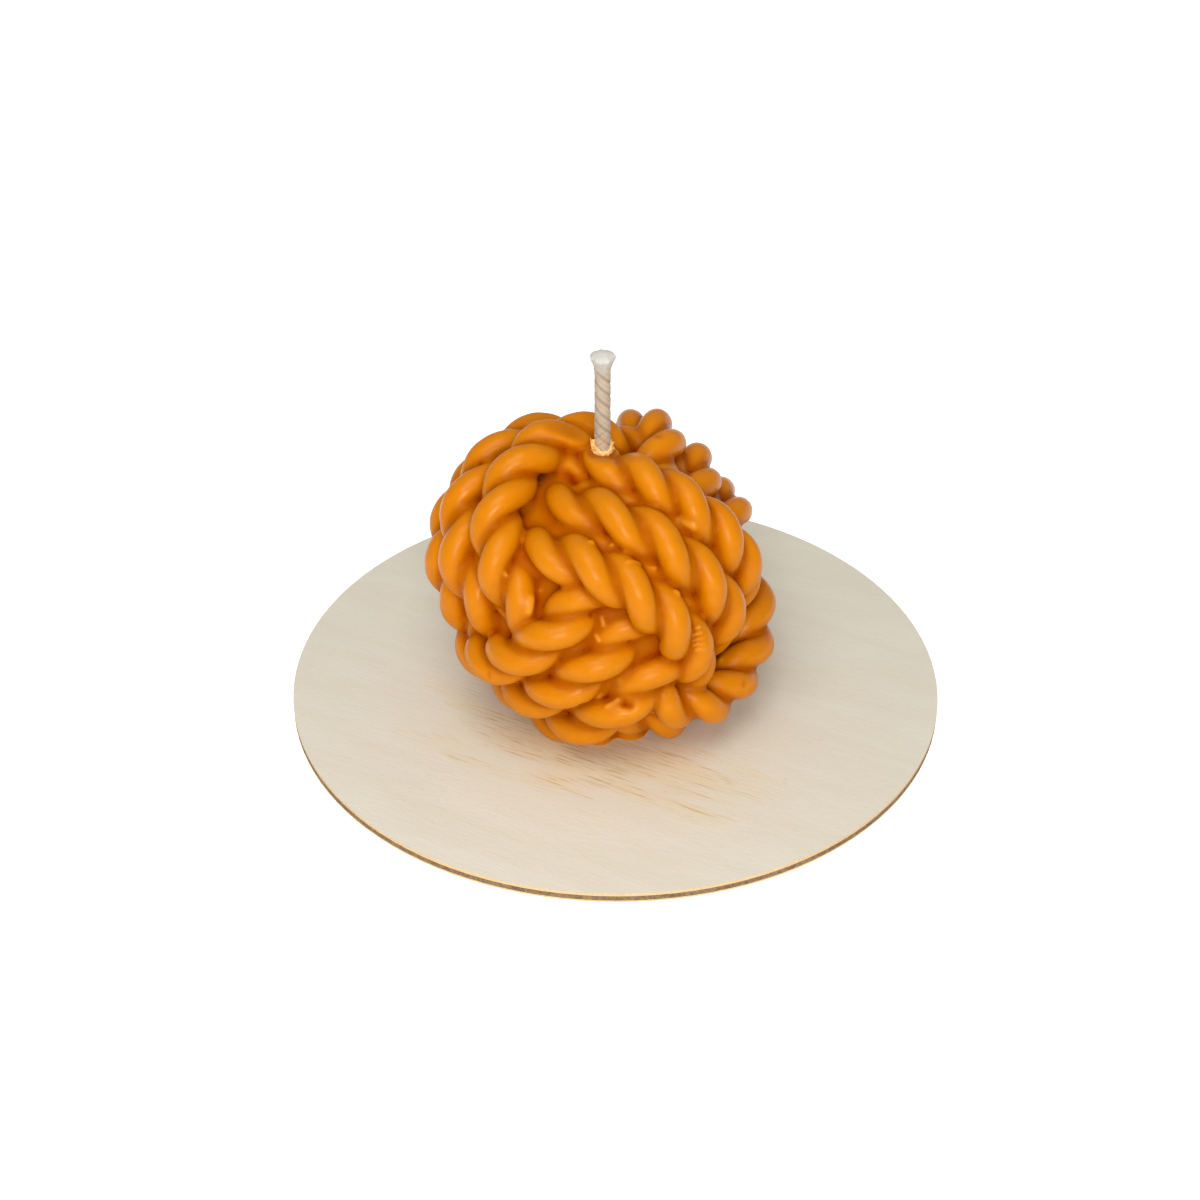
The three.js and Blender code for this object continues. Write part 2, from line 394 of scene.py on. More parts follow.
def addFloor():
    # white to the camera, with the shadow that the board drops on it
    bm = bmesh.new()
    rings, sides = 24, 64
    middle = bm.verts.new((0, 0, 0))
    last = None
    for ring in range(1, rings + 1):
        radius = 4.0 * (ring / rings) ** 2
        turns = [2 * math.pi * i / sides for i in range(sides)]
        loop = [bm.verts.new((radius * math.cos(turn), radius * math.sin(turn), 0)) for turn in turns]
        for i in range(sides):
            j = (i + 1) % sides
            if last:
                bm.faces.new((last[i], loop[i], loop[j], last[j]))
            else:
                bm.faces.new((middle, loop[i], loop[j]))
        last = loop
    mesh = bpy.data.meshes.new("floor")
    bm.to_mesh(mesh)
    bm.free()
    floor = bpy.data.objects.new("floor", mesh)
    floor.location.z = -0.00002
    bpy.context.scene.collection.objects.link(floor)
    material, tree, nodes, _, shader = startMaterial("whiteTable")
    shader.inputs["Base Color"].default_value = (0.86, 0.86, 0.86, 1)
    shader.inputs["Roughness"].default_value = 0.9
    shader.inputs["Specular IOR Level"].default_value = 0.1
    path = nodes.add("ShaderNodeLightPath")
    glow = nodes.add("ShaderNodeEmission", {"Color": (1, 1, 1, 1), "Strength": 0.75})
    seen = nodes.math("MAXIMUM", path.outputs["Is Camera Ray"], path.outputs["Is Glossy Ray"])
    off = nodes.add("ShaderNodeEmission", {"Color": (0, 0, 0, 1), "Strength": 0.0})
    pick = nodes.add("ShaderNodeMixShader", {0: seen, 1: off.outputs[0], 2: glow.outputs[0]})
    both = nodes.add("ShaderNodeAddShader", {0: shader.outputs[0], 1: pick.outputs[0]})
    output = next(n for n in tree.nodes if n.type == "OUTPUT_MATERIAL")
    tree.links.new(both.outputs[0], output.inputs["Surface"])
    mesh.materials.append(material)


addCamera()
addLights()
addFloor()
bpy.context.scene.view_settings.view_transform = "Standard"
print("camera, light and floor are in place")


# the wax ball: the same ropes as the solid, with soft joins and a caster's small faults

knotRopes = {
    "middle": (-2.625, -5.5, 29.0),
    "spacing": 9.9, "over": 29.0, "under": 21.3, "passSharpness": 1.4, "reach": 74.0, "core": 25.5,
    "strands": 2, "strandRadius": 2.8, "strandOffset": 2.2, "heart": 2.8,
    "webRadius": 2.5, "webDrop": 2.2,  # wax that filled in between two ropes
    "heading": -59.0, "lean": 9.7, "leanHeading": 45.6,
    "front": {"aside": 0.6, "slide": -2.0, "turn": -0.1, "lifts": (-0.6, -0.8, -0.4),
              "twists": (109, 103, 79), "lays": (17.5, 20.6, 17.9)},
    "back": {"aside": 0.0, "slide": 0.0, "turn": 0.0, "lifts": (0.0, 0.0, 0.0),
             "twists": (20, 70, 110), "lays": (18.0, 19.0, 18.5)},
    "left": {"aside": 0.2, "slide": 0.4, "turn": -0.3, "lifts": (1.5, 2.1, 1.5),
             "twists": (101, 90, 4), "lays": (17.4, 20.7, 18.3)},
    "right": {"aside": -1.0, "slide": -4.3, "turn": -10.8, "lifts": (4.8, 1.1, 3.0),
              "twists": (118, 88, 42), "lays": (18.4, 19.4, 18.4)},
    "lower": {"aside": -0.5, "slide": 0.7, "turn": -4.1, "lifts": (-0.8, -2.3, -1.5),
              "twists": (174, 48, 55), "lays": (21.3, 18.7, 18.2)},
    "upper": {"aside": -0.4, "slide": 7.4, "turn": 4.6, "lifts": (0.1, -0.3, 1.2),
              "twists": (160, 52, 8), "lays": (20.8, 19.7, 19.9)},
}

waxFinish = {
    "voxel": 0.36,
    "relaxRounds": 5,
    "evening": 0.9,
    "creaseRounds": 22,
    "creaseFill": 0.85,
    "footHeight": 2.0,
    "boreRadius": 1.8,
    "seatHeight": 57.5,
    "seatRadius": 3.2,
    "dishRadius": 2.5,
    "dishSlope": 0.54,
    "dishSoftness": 0.9,
    "waviness": 0.10,
    "reliefRounds": 26,  # how broadly crests and creases are told apart, and their usual height
    "reliefHeight": 1.2,
    "bright": linear(211, 126, 0),
    # painted shade: the dark red that the creases between the strands are coloured with
    "paintedCreaseShade": linear(128, 14, 0),
    # painted highlight on the crests, and also the own colour of the pale wax films
    "pale": linear(226, 158, 60),
    "nubs": 46,
}

waxMarks = (  # from, to, radius and height: wrinkles, films, nubs and dents of a hand-poured ball
    ((13.3, -31.9, 35.2), (15.0, -30.3, 35.1), 0.34, 0.35),
    ((13.5, -31.8, 34.2), (15.2, -30.8, 34.2), 0.34, 0.35),
    ((13.7, -31.9, 33.2), (15.4, -31.2, 33.2), 0.34, 0.32),
    ((14.0, -31.9, 32.2), (15.6, -31.6, 32.2), 0.34, 0.3),
    ((14.4, -32.1, 31.2), (15.8, -31.9, 31.3), 0.34, 0.25),
    ((-4.9, -26.6, 51.0), (-1.1, -25.4, 49.6), 0.4, 0.5),
    ((1.9, -29.4, 48.7), (6.8, -26.9, 45.7), 0.4, 0.35),
    ((11.4, -18.8, 50.9), (12.0, -19.3, 50.5), 0.8, 0.5),
    ((12.8, -19.4, 50.2), (13.8, -20.1, 49.8), 0.7, 0.45),
    ((-14.0, -26.2, 40.2), (-14.1, -27.1, 41.0), 0.45, 0.9),
    ((-15.2, -28.8, 40.0), (-15.5, -29.9, 38.1), 1.0, 0.7),
    ((-2.7, -30.2, 37.0), (-2.4, -30.5, 35.6), 0.38, 0.5),
    ((-3.8, -31.4, 33.8), (-3.3, -31.6, 33.0), 0.38, 0.4),
    ((-8.8, -7.8, 53.8), (-7.7, -9.9, 52.9), 1.1, -0.9),
    ((-1.8, -33.7, 19.5), (0.2, -33.1, 20.5), 0.5, 0.3),
    ((1.4, -34.0, 20.3), (2.4, -34.4, 20.1), 0.8, -0.6),
    ((-20.5, -25.7, 43.9), (-19.9, -26.0, 43.4), 0.4, 0.45),
    ((10.5, -30.0, 42.6), (10.9, -30.2, 42.3), 0.45, 0.5),
)


def ropeMiddleLine(bundle, place, drop=0.0):
    k = knotRopes
    aside = place * k["spacing"] + bundle["aside"]
    lift = np.interp(place, (-1, 0, 1), bundle["lifts"])
    over = math.sqrt(k["over"] ** 2 - aside ** 2) + lift - drop
    angle = np.radians(np.linspace(-k["reach"], k["reach"], 500))
    passing = np.tanh(k["passSharpness"] * np.cos(2 * angle)) / math.tanh(k["passSharpness"])
    radius = k["under"] + (over - k["under"]) * (1 + passing) / 2
    angle = angle + math.radians(bundle["slide"])
    line = np.stack([radius * np.cos(angle), radius * np.sin(angle), np.full_like(angle, aside)], 1)
    along = np.concatenate([[0], np.cumsum(np.linalg.norm(np.diff(line, axis=0), axis=1))])
    even = np.linspace(0, along[-1], int(along[-1] / 0.6))
    return np.stack([np.interp(even, along, line[:, i]) for i in range(3)], 1), even


def ropeTubes(bundle):
    # the three ropes of one bundle, running over +X, and the webs of wax between them
    k = knotRopes
    tubes = []
    across = np.array([0, 0, 1.0])
    for place in (-0.5, 0.5):
        tubes.append(tube(ropeMiddleLine(bundle, place, k["webDrop"])[0], k["webRadius"], 12, across))
    for place, twist, layLength in zip((-1, 0, 1), bundle["twists"], bundle["lays"]):
        line, along = ropeMiddleLine(bundle, place)
        heading = np.gradient(line, axis=0)
        heading /= np.linalg.norm(heading, axis=1)[:, None]
        outward = np.cross(heading, across)
        lay = math.radians(twist) + 2 * math.pi * (along - along[-1] / 2) / layLength
        tubes.append(tube(line, k["heart"], 12, across))
        for strand in range(k["strands"]):
            turn = lay + 2 * math.pi * strand / k["strands"]
            spoke = np.cos(turn)[:, None] * outward - np.sin(turn)[:, None] * across
            tubes.append(tube(line + k["strandOffset"] * spoke, k["strandRadius"], 16, spoke))
    own = np.array(Matrix.Rotation(math.radians(bundle["turn"]), 3, "X"))
    return [(points @ own.T, faces) for points, faces in tubes]


def knotTurn():
    # rows are the knot's own axes: evenly round the wick, then leaned as cast
    k = knotRopes
    rise = math.asin(1 / math.sqrt(3))
    leanTurn = math.radians(k["leanHeading"])
    lean = Matrix.Rotation(math.radians(k["lean"]), 3, Vector((-math.sin(leanTurn), math.cos(leanTurn), 0)))

    def axis(heading):
        turn = math.radians(heading)
        flat = math.cos(rise)
        return lean @ Vector((flat * math.cos(turn), flat * math.sin(turn), math.sin(rise)))

    front, left = axis(k["heading"]), axis(k["heading"] - 120)
    return np.array([front, left, front.cross(left)])


def knotBall():
    turn = knotTurn()
    toNext = np.array([[0, 1, 0], [0, 0, 1], [1, 0, 0]], float)  # rows: where X, Y and Z go
    half = np.diag([-1.0, -1.0, 1.0])
    side = np.eye(3)
    parts = []
    for near, far in (("front", "back"), ("left", "right"), ("lower", "upper")):
        for name, flip in ((near, np.eye(3)), (far, half)):
            for points, faces in ropeTubes(knotRopes[name]):
                parts.append((points @ flip @ side @ turn, faces))
        side = side @ toNext
    parts.append(ball((0, 0, 0), knotRopes["core"], 5))
    points, faces = joined(parts)
    points = points + np.array(knotRopes["middle"])
    return points, faces


def seatMound():
    # the wax that fills the dip round the wick's foot
    x, y, z = knotRopes["middle"]
    top = waxFinish["seatHeight"]
    line = [(x, y, h) for h in np.linspace(z + 10, top - 0.4, 12)]
    return tube(line, waxFinish["seatRadius"], 24, (1.0, 0, 0))


def dished(points):
    # the wax sank a little round the wick, which is why the crumb ring shows
    w = waxFinish
    x, y, _ = knotRopes["middle"]
    away = np.hypot(points[:, 0] - x, points[:, 1] - y)
    limit = w["seatHeight"] + w["dishSlope"] * np.maximum(away - w["dishRadius"], 0)
    soft = w["dishSoftness"]
    points[:, 2] = -soft * np.logaddexp(-points[:, 2] / soft, -limit / soft)
    return points


def nearMarks(points, marks):
    # how far each mark raises the wax, and where the marks show pale
    raised = np.zeros(len(points))
    pale = np.zeros(len(points))
    for start, end, radius, height in marks:
        start, along = np.array(start), np.array(end) - np.array(start)
        share = np.clip((points - start) @ along / (along @ along), 0, 1)
        away = np.linalg.norm(points - start - share[:, None] * along, axis=1)
        near = np.exp(-(away / radius) ** 2)
        raised += height * near
        if height > 0:
            pale = np.maximum(pale, near)
    return raised, pale


def smallNubs(points):
    # faults like the ones in view, scattered over the whole ball
    chance = random.Random(21)
    nubs = []
    for _ in range(waxFinish["nubs"]):
        place = points[chance.randrange(len(points))]
        reach = np.array([chance.uniform(-0.8, 0.8) for _ in range(3)])
        nubs.append((place, place + reach, chance.uniform(0.35, 0.8), chance.choice((0.2, 0.3, -0.25))))
    return tuple(nubs)


def cutter(name, points, faces):
    mesh = bpy.data.meshes.new(name)
    mesh.from_pydata([tuple(p) for p in points], [], faces)
    thing = bpy.data.objects.new(name, mesh)
    bpy.context.scene.collection.objects.link(thing)
    return thing


def footBox():
    w = waxFinish
    x, y, _ = knotRopes["middle"]
    bm = bmesh.new()
    bmesh.ops.create_cube(bm, size=1)
    size = 100
    points = np.array([v.co[:] for v in bm.verts]) * size + (x, y, w["footHeight"] - size / 2)
    faces = [[v.index for v in f.verts] for f in bm.faces]
    bm.free()
    return points, faces


def wickBore():
    w = waxFinish
    x, y, _ = knotRopes["middle"]
    return tube([(x, y, h) for h in np.linspace(-5, 80, 60)], w["boreRadius"], 32, (1.0, 0, 0))


def cutWax(mesh):
    rough = bpy.data.objects.new("waxCutting", mesh)
    bpy.context.scene.collection.objects.link(rough)
    tools = [cutter("footBox", *footBox()), cutter("wickBore", *wickBore())]
    for tool in tools:
        cut = rough.modifiers.new(tool.name, "BOOLEAN")
        cut.operation = "DIFFERENCE"
        cut.solver = "MANIFOLD"
        cut.object = tool
    done = bpy.data.meshes.new_from_object(rough.evaluated_get(bpy.context.evaluated_depsgraph_get()))
    for thing in tools + [rough]:
        bpy.data.objects.remove(thing)
    return done


def waves(point):
    # slow swells and smaller ones, as a hand-made ball has
    return noise.noise(point * 0.16) + 0.5 * noise.noise(point * 0.42 + Vector((9, 2, 5)))


def waxMesh():
    w = waxFinish
    points, faces = joined([knotBall(), seatMound()])
    mesh = largestShell(remeshed(points, faces, w["voxel"]))
    points, edges = meshArrays(mesh)
    points = relaxed(dished(points), edges, w["relaxRounds"])
    setPoints(mesh, points)
    normals = surfaceNormals(mesh)
    evened = relaxed(points, edges, w["creaseRounds"], w["evening"], 0)
    sunk = np.einsum("ij,ij->i", evened - points, normals)
    points = points + normals * (w["creaseFill"] * np.maximum(sunk, 0))[:, None]
    wave = np.array([waves(Vector(point)) for point in points])
    marks = waxMarks + smallNubs(points)
    raised = nearMarks(points, marks)[0] + wave * w["waviness"]
    points = points + normals * raised[:, None]
    setPoints(mesh, points)
    mesh = cutWax(mesh)
    points, edges = meshArrays(mesh)
    broad = relaxed(points, edges, w["reliefRounds"], w["evening"], 0)
    relief = np.einsum("ij,ij->i", points - broad, surfaceNormals(mesh))
    addValues(mesh, "relief", np.clip(relief / w["reliefHeight"], -1, 1) * 0.5 + 0.5)
    addValues(mesh, "marks", nearMarks(points, marks)[1])
    setPoints(mesh, points * mm)
    return mesh


def waxMaterial():
    w = waxFinish
    material, tree, nodes, place, shader = startMaterial("orangeWax")
    relief = nodes.add("ShaderNodeAttribute", attribute_name="relief").outputs["Fac"]
    clouds = useGroup(nodes, softClouds, {"Vector": place, "Patch Size": 0.009, "Fine Size": 0.0009})
    marks = nodes.add("ShaderNodeAttribute", attribute_name="marks").outputs["Fac"]
    # painted shade: the creases between the strands are coloured dark red, where shade falls
    creaseShadeMask = nodes.span(relief, 0.3, 0.62, 1.0, 0.0)
    base = nodes.mixColour(creaseShadeMask, w["bright"], w["paintedCreaseShade"])
    # painted highlight: the crests are paled in patches as a painted sheen, partly the wax's own whitish
    # bloom; the pale of the marks is the films' real colour
    sheenAndScuffPatches = nodes.span(clouds.outputs["Patches"], 0.45, 1.0, 0.0, 0.35)
    crestSheenAndBloom = nodes.math("MULTIPLY", nodes.span(relief, 0.62, 0.9), sheenAndScuffPatches)
    crestSheenAndBloom = nodes.math("MAXIMUM", crestSheenAndBloom, nodes.span(marks, 0.25, 1.0, 0.0, 0.36))
    colour = nodes.mixColour(crestSheenAndBloom, base, w["pale"])
    tree.links.new(colour, shader.inputs["Base Color"])
    rough = nodes.span(clouds.outputs["Patches"], 0.0, 1.0, 0.26, 0.4)
    tree.links.new(rough, shader.inputs["Roughness"])
    shader.inputs["IOR"].default_value = 1.44
    gloss = nodes.span(relief, 0.42, 0.68, 0.02, 0.34)
    tree.links.new(gloss, shader.inputs["Specular IOR Level"])
    shader.inputs["Specular Tint"].default_value = (1.0, 0.93, 0.72, 1)
    shader.inputs["Subsurface Weight"].default_value = 0.12
    shader.inputs["Subsurface Radius"].default_value = (1.0, 0.35, 0.06)
    shader.inputs["Subsurface Scale"].default_value = 0.0022
    bump(nodes, shader, clouds.outputs["Fine"], 0.00003, 0.35)
    return material


waxBody = placeObject("knotWaxBall", waxMesh(), "candle", ("wax_body",))
smoothShade(waxBody.data, 60)
waxBody.data.materials.clear()
waxBody.data.materials.append(waxMaterial())
print("wax ball made,", len(waxBody.data.polygons), "faces")


# the cotton wick: a round braid with a cut, fluffed end

wickBraid = {
    "footHeight": 2.5,
    "braidStart": 54.0,
    "tip": 78.0,
    "endShape": ((0.0, 0.05), (0.2, 0.9), (0.5, 1.7), (0.85, 2.16), (1.2, 2.3), (1.7, 2.14), (2.3, 1.86),
                 (3.1, 1.62), (4.2, 1.5)),  # depth below the tip and radius there
    "bands": 3,
    "bandRise": 2.6,
    "crossBands": 4,
    "crossRise": 1.9,
    "crossBelow": 66.0,  # over this height the crossing grooves fade out
    "grooveDepth": 0.11,
    "smoothEnd": 1.4,  # length at the tip that has no grooves
    "flareLength": 3.4,
    "folds": ((3, 0.05, 0.4), (7, 0.04, 2.0), (11, 0.03, 1.1)),  # round the flare: how many, share, where
    "sides": 112,
    "ringStep": 0.09,
    "fibres": 380,
    "fibreRadius": 0.055,
    "fibreReach": 2.36,
    "cotton": linear(192, 175, 154),
    "shade": linear(168, 146, 121),
    # painted shade for the grooves between the yarns
    "groove": linear(134, 111, 88),
    "soaked": linear(222, 172, 118),
    "tipCotton": linear(204, 200, 191),
}


def wickRadiusAt(height):
    w = wickBraid
    depths, radii = zip(*w["endShape"])
    return np.interp(w["tip"] - height, depths, radii)


def grooves(phase, width):
    return np.exp(-(((phase % 1) - 0.5) / width) ** 2)


def braidRelief(turn, height):
    # 1 in a groove between yarns: bands run down to the right, finer ones cross them near the foot
    w = wickBraid
    share = turn / (2 * math.pi)
    band = height / w["bandRise"] + share * w["bands"]
    cross = height / w["crossRise"] - share * w["crossBands"]
    foot = np.clip((w["crossBelow"] - height) / 5, 0.25, 1)
    fade = np.clip((w["tip"] - w["smoothEnd"] - height) / 2.5, 0, 1)
    lines = grooves(band, 0.09) + 0.4 * grooves(band * 3 + 0.5, 0.16) + 0.8 * foot * grooves(cross, 0.07)
    return np.minimum(lines, 1.3) * fade


def braidSkin():
    w = wickBraid
    x, y, _ = knotRopes["middle"]
    sides = w["sides"]
    heights = np.concatenate([np.linspace(w["footHeight"], w["braidStart"], 30),
                              np.arange(w["braidStart"] + 0.1, w["tip"] - 0.5, w["ringStep"]),
                              np.linspace(w["tip"] - 0.42, w["tip"] - 0.02, 7)])
    turn = np.linspace(0, 2 * math.pi, sides, endpoint=False)
    high, around = np.meshgrid(heights, turn, indexing="ij")
    relief = braidRelief(around, high)
    relief[high < w["braidStart"]] = 0
    flare = np.clip((high - w["tip"] + w["flareLength"]) / 2.4, 0, 1)
    folds = sum(share * np.sin(count * around + start) for count, share, start in w["folds"])
    radius = wickRadiusAt(high) * (1 + flare * folds) - w["grooveDepth"] * relief
    rings = np.stack([x + radius * np.cos(around), y + radius * np.sin(around), high], -1).reshape(-1, 3)
    points = np.concatenate([rings, [(x, y, heights[0]), (x, y, w["tip"])]])
    steps = [(j, (j + 1) % sides) for j in range(sides)]
    faces = [(row + j, row + k, row + sides + k, row + sides + j)
             for row in range(0, (len(heights) - 1) * sides, sides) for j, k in steps]
    last = (len(heights) - 1) * sides
    faces += [(len(rings), k, j) for j, k in steps]
    faces += [(len(rings) + 1, last + j, last + k) for j, k in steps]
    return points, faces, np.concatenate([relief.ravel(), [0, 0]])


def fluffedEnd():
    # cut fibre ends that stand a hair proud of the flared tip
    w = wickBraid
    x, y, _ = knotRopes["middle"]
    chance = random.Random(11)
    depths, radii = zip(*w["endShape"])
    widest = radii.index(max(radii))
    fibres = []
    for _ in range(w["fibres"]):
        share = math.sqrt(chance.random())
        turn = chance.uniform(0, 2 * math.pi)
        low = chance.uniform(1.6, 3.6)
        top = np.interp(share * radii[widest], radii[:widest + 1], depths[:widest + 1])
        top += chance.uniform(-0.12, 0.1)
        line = []
        for i, h in enumerate(np.linspace(w["tip"] - low, w["tip"] - top, 8)):
            wave = 0.03 * math.sin(i * 1.7 + turn * 5)
            reach = float(wickRadiusAt(min(h, w["tip"] - 1.2))) * share * chance.uniform(0.985, 1.015)
            reach = min(reach + wave, w["fibreReach"])
            line.append((x + reach * math.cos(turn + wave), y + reach * math.sin(turn + wave), h))
        fibres.append(tube(line, np.linspace(1, 0.6, 8) * w["fibreRadius"], 5, (0.9, 0.1, 0.05)))
    return fibres


def cottonMaterial():
    w = wickBraid
    material, tree, nodes, place, shader = startMaterial("cottonBraid")
    clouds = useGroup(nodes, softClouds, {"Vector": place, "Patch Size": 0.003, "Fine Size": 0.00025})
    height = nodes.add("ShaderNodeSeparateXYZ", {"Vector": place}).outputs["Z"]
    relief = nodes.add("ShaderNodeAttribute", attribute_name="relief").outputs["Fac"]
    shaded = nodes.math("MULTIPLY", clouds.outputs["Patches"], 0.45)
    body = nodes.mixColour(shaded, w["cotton"], w["shade"])
    # painted shade: the grooves between the yarns are coloured darker, where shade falls
    body = nodes.mixColour(nodes.span(relief, 0.1, 1.0, 0.0, 0.72), body, w["groove"])
    patchy = nodes.span(clouds.outputs["Patches"], 0.3, 0.7, 0.1, 0.7)
    foot = nodes.math("MULTIPLY", nodes.span(height, 0.0618, 0.0585), patchy)
    body = nodes.mixColour(foot, body, w["soaked"])
    towardTip = nodes.span(height, 0.0735, 0.0765)
    colour = nodes.mixColour(towardTip, body, w["tipCotton"])
    tree.links.new(colour, shader.inputs["Base Color"])
    tree.links.new(nodes.span(clouds.outputs["Fine"], 0.0, 1.0, 0.82, 0.98), shader.inputs["Roughness"])
    shader.inputs["Specular IOR Level"].default_value = 0.2
    shader.inputs["Sheen Weight"].default_value = 0.2
    bump(nodes, shader, clouds.outputs["Fine"], 0.00004, 0.7)
    return material


skinPoints, skinFaces, skinRelief = braidSkin()
points, faces = joined([(skinPoints, skinFaces)] + fluffedEnd())
wick = meshObject("braidedWick", points, faces, "candle", ("wick",))
addValues(wick.data, "relief", np.concatenate([skinRelief, np.zeros(len(points) - len(skinRelief))]))
smoothShade(wick.data, 70)
wick.data.materials.append(cottonMaterial())
print("wick braided,", len(wick.data.polygons), "faces")


# pale wax crumbs that set round the wick

crumbRing = {
    "low": 57.3,
    "high": 59.4,
    "inside": 1.5,
    "outside": 1.92,
    "crumbs": 150,
    "baseLumps": 40,
    "lumpRadius": 0.3,
    "voxel": 0.08,
    "pale": linear(250, 216, 152),
    "stained": linear(226, 160, 78),
}


def lumpAt(turn, reach, rise, radius):
    # one crumb on the ring, by its place round the wick
    x, y, _ = knotRopes["middle"]
    return ball((x + reach * math.cos(turn), y + reach * math.sin(turn), crumbRing["low"] + rise), radius)


def crumbShapes():
    c = crumbRing
    chance = random.Random(5)
    lumps = []
    for i in range(c["baseLumps"]):
        for rise in (0.3, 0.66):
            turn = 2 * math.pi * i / c["baseLumps"]
            lumps.append(lumpAt(turn, (c["inside"] + c["outside"]) / 2, rise, c["lumpRadius"]))
    for _ in range(c["crumbs"]):
        turn = chance.uniform(0, 2 * math.pi)
        rise = chance.random()
        reach = chance.uniform(c["inside"], c["outside"])
        # two higher heaps, to the left and to the right
        top = (c["high"] - c["low"]) * (0.58 + 0.3 * math.cos(2 * turn - 0.3) + 0.12 * math.sin(5 * turn))
        lumps.append(lumpAt(turn, reach, 0.2 + rise * top, chance.uniform(0.16, 0.42)))
    return lumps + drip()


def drip():
    # a thread of wax that climbs the wick's left side
    x, y, _ = knotRopes["middle"]
    foot = (x - 1.95, y - 0.5, crumbRing["low"] + 1.3)
    return [ball((foot[0] - 0.04 * step, foot[1], foot[2] + 0.3 * step), 0.22 - 0.016 * step)
            for step in range(7)]


def crumbMesh():
    points, faces = joined(crumbShapes())
    mesh = largestShell(remeshed(points, faces, crumbRing["voxel"]))
    points, edges = meshArrays(mesh)
    points = relaxed(points, edges, 2)
    setPoints(mesh, points)
    normals = surfaceNormals(mesh)
    rough = np.array([noise.noise(Vector(p) * 3.1) + 0.6 * noise.noise(Vector(p) * 7.3) for p in points])
    setPoints(mesh, (points + normals * (0.09 * rough)[:, None]) * mm)
    return mesh


def crumbMaterial():
    c = crumbRing
    material, tree, nodes, place, shader = startMaterial("paleWaxCrumbs")
    clouds = useGroup(nodes, softClouds, {"Vector": place, "Patch Size": 0.0009, "Fine Size": 0.0002})
    colour = nodes.mixColour(clouds.outputs["Patches"], c["pale"], c["stained"])
    tree.links.new(colour, shader.inputs["Base Color"])
    tree.links.new(nodes.span(clouds.outputs["Fine"], 0.0, 1.0, 0.45, 0.7), shader.inputs["Roughness"])
    shader.inputs["Subsurface Weight"].default_value = 0.3
    shader.inputs["Subsurface Radius"].default_value = (1.0, 0.6, 0.3)
    shader.inputs["Subsurface Scale"].default_value = 0.0005
    bump(nodes, shader, clouds.outputs["Fine"], 0.00003, 0.5)
    return material


crumbs = placeObject("waxCrumbRing", crumbMesh(), "candle", ("wick_collar",))
smoothShade(crumbs.data, 80)
crumbs.data.materials.clear()
crumbs.data.materials.append(crumbMaterial())
print("crumb ring made,", len(crumbs.data.polygons), "faces")


# the plywood board: the solid plies with wood finishes

plywood = {
    "grainHeading": 28.0,
    "veneer": linear(226, 220, 203),
    "veneerDark": linear(212, 201, 175),
    "fleck": linear(184, 162, 126),
    "oiled": linear(223, 205, 165),
    "oiledStreak": linear(188, 157, 104),
    "veneerEdge": linear(236, 200, 150),
    "core": linear(128, 92, 56),
    "coreDark": linear(84, 56, 32),
    "oiledPatch": (-4.0, -25.0),
    "oiledReach": (33.0, 14.0),
    "oiledTurn": 24.0,
}


def oiledMask(nodes, place, bands):
    # the warm patch that the hand-oiled wood has in front of the candle, ragged along the grain
    p = plywood
    x, y = p["oiledPatch"]
    about = {"Vector": place, "Center": (x * mm, y * mm, 0), "Angle": math.radians(p["oiledTurn"])}
    local = nodes.add("ShaderNodeVectorRotate", about, rotation_type="Z_AXIS").outputs[0]
    reach = [1 / (r * mm) for r in p["oiledReach"]]
    scaled = nodes.add("ShaderNodeVectorMath", {0: local, 1: (reach[0], reach[1], 0)}, operation="MULTIPLY")
    scaled = scaled.outputs[0]
    middle = (x * mm * reach[0], y * mm * reach[1], 0)
    away = nodes.add("ShaderNodeVectorMath", {0: scaled, 1: middle}, operation="DISTANCE").outputs["Value"]
    ragged = nodes.math("ADD", away, nodes.span(bands, 0.0, 1.0, -0.35, 0.35))
    return nodes.span(ragged, 1.15, 0.5)


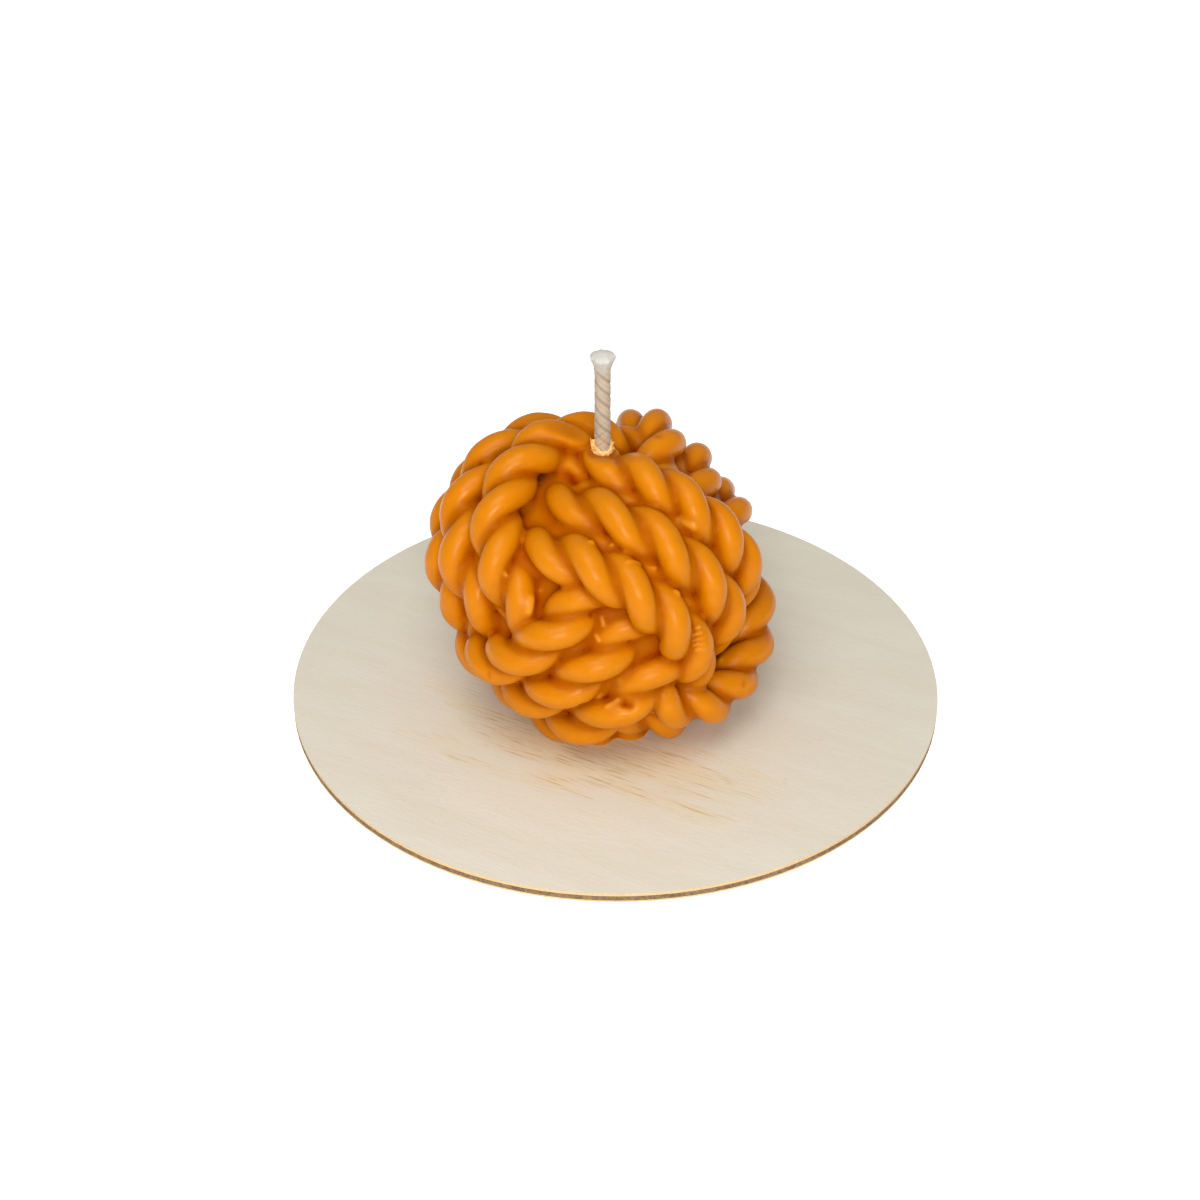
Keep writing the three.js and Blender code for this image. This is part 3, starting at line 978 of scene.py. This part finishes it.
def veneerMaterial(name, oiled):
    p = plywood
    material, tree, nodes, place, shader = startMaterial(name)
    heading = math.radians(p["grainHeading"])
    wood = useGroup(nodes, woodFibres, {"Vector": place, "Heading": heading, "Fibre Width": 0.00045,
                                        "Stretch": 5.0})
    clouds = useGroup(nodes, softClouds, {"Vector": place, "Patch Size": 0.014, "Fine Size": 0.0006})
    banded = nodes.math("MULTIPLY", wood.outputs["Bands"], 0.24)
    face = nodes.mixColour(banded, p["veneer"], p["veneerDark"])
    fibred = nodes.math("MULTIPLY", wood.outputs["Fibres"], 0.17)
    face = nodes.mixColour(fibred, face, p["veneerDark"])
    patchy = nodes.span(clouds.outputs["Patches"], 0.35, 1.0, 0.0, 0.4)
    face = nodes.mixColour(nodes.math("MULTIPLY", wood.outputs["Pores"], patchy), face, p["fleck"])
    if oiled:
        patch = oiledMask(nodes, place, wood.outputs["Bands"])
        face = nodes.mixColour(nodes.math("MULTIPLY", patch, 0.7), face, p["oiled"])
        streaks = useGroup(nodes, woodFibres, {"Vector": place, "Heading": heading, "Fibre Width": 0.00034,
                                               "Stretch": 27.0})
        mask = nodes.math("MULTIPLY", nodes.span(streaks.outputs["Fibres"], 0.66, 0.9), patch)
        face = nodes.mixColour(nodes.math("MULTIPLY", mask, 0.95), face, p["oiledStreak"])
    up = nodes.add("ShaderNodeNewGeometry").outputs["Normal"]
    upness = nodes.math("ABSOLUTE", nodes.add("ShaderNodeSeparateXYZ", {"Vector": up}).outputs["Z"])
    dirt = nodes.math("MULTIPLY", clouds.outputs["Fine"], 0.4)
    edge = nodes.mixColour(dirt, p["veneerEdge"], p["oiledStreak"])
    colour = nodes.mixColour(nodes.span(upness, 0.3, 0.7), edge, face)
    tree.links.new(colour, shader.inputs["Base Color"])
    tree.links.new(nodes.span(wood.outputs["Fibres"], 0.0, 1.0, 0.62, 0.8), shader.inputs["Roughness"])
    shader.inputs["Specular IOR Level"].default_value = 0.3
    bump(nodes, shader, wood.outputs["Fibres"], 0.00005, 0.5)
    return material


def coreMaterial(name, lightness):
    p = plywood
    material, tree, nodes, place, shader = startMaterial(name)
    wood = useGroup(nodes, woodFibres, {"Vector": place, "Heading": math.radians(p["grainHeading"] + 90),
                                        "Fibre Width": 0.0006, "Stretch": 3.0})
    clouds = useGroup(nodes, softClouds, {"Vector": place, "Patch Size": 0.002, "Fine Size": 0.00035})
    mixed = nodes.mixColour(clouds.outputs["Patches"], p["core"], p["coreDark"])
    colour = nodes.mixColour(nodes.math("MULTIPLY", wood.outputs["Fibres"], lightness), mixed, p["fleck"])
    tree.links.new(colour, shader.inputs["Base Color"])
    tree.links.new(nodes.span(clouds.outputs["Fine"], 0.0, 1.0, 0.7, 0.95), shader.inputs["Roughness"])
    bump(nodes, shader, clouds.outputs["Fine"], 0.00012, 0.8)
    return material


def dressNode(node, material):
    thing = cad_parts[node]
    if not thing.material_slots:
        thing.data.materials.append(material)
    for place in thing.material_slots:
        place.link = "OBJECT"
        place.material = material


dressNode("face_veneer", veneerMaterial("faceVeneer", True))
dressNode("back_veneer", veneerMaterial("backVeneer", False))
dressNode("core_ply", coreMaterial("coreEdge", 0.5))
for node in ("glue_film_upper", "glue_film_lower"):
    dressNode(node, coreMaterial(node.replace("_", "") + "Line", 0.15))
print("board finished")
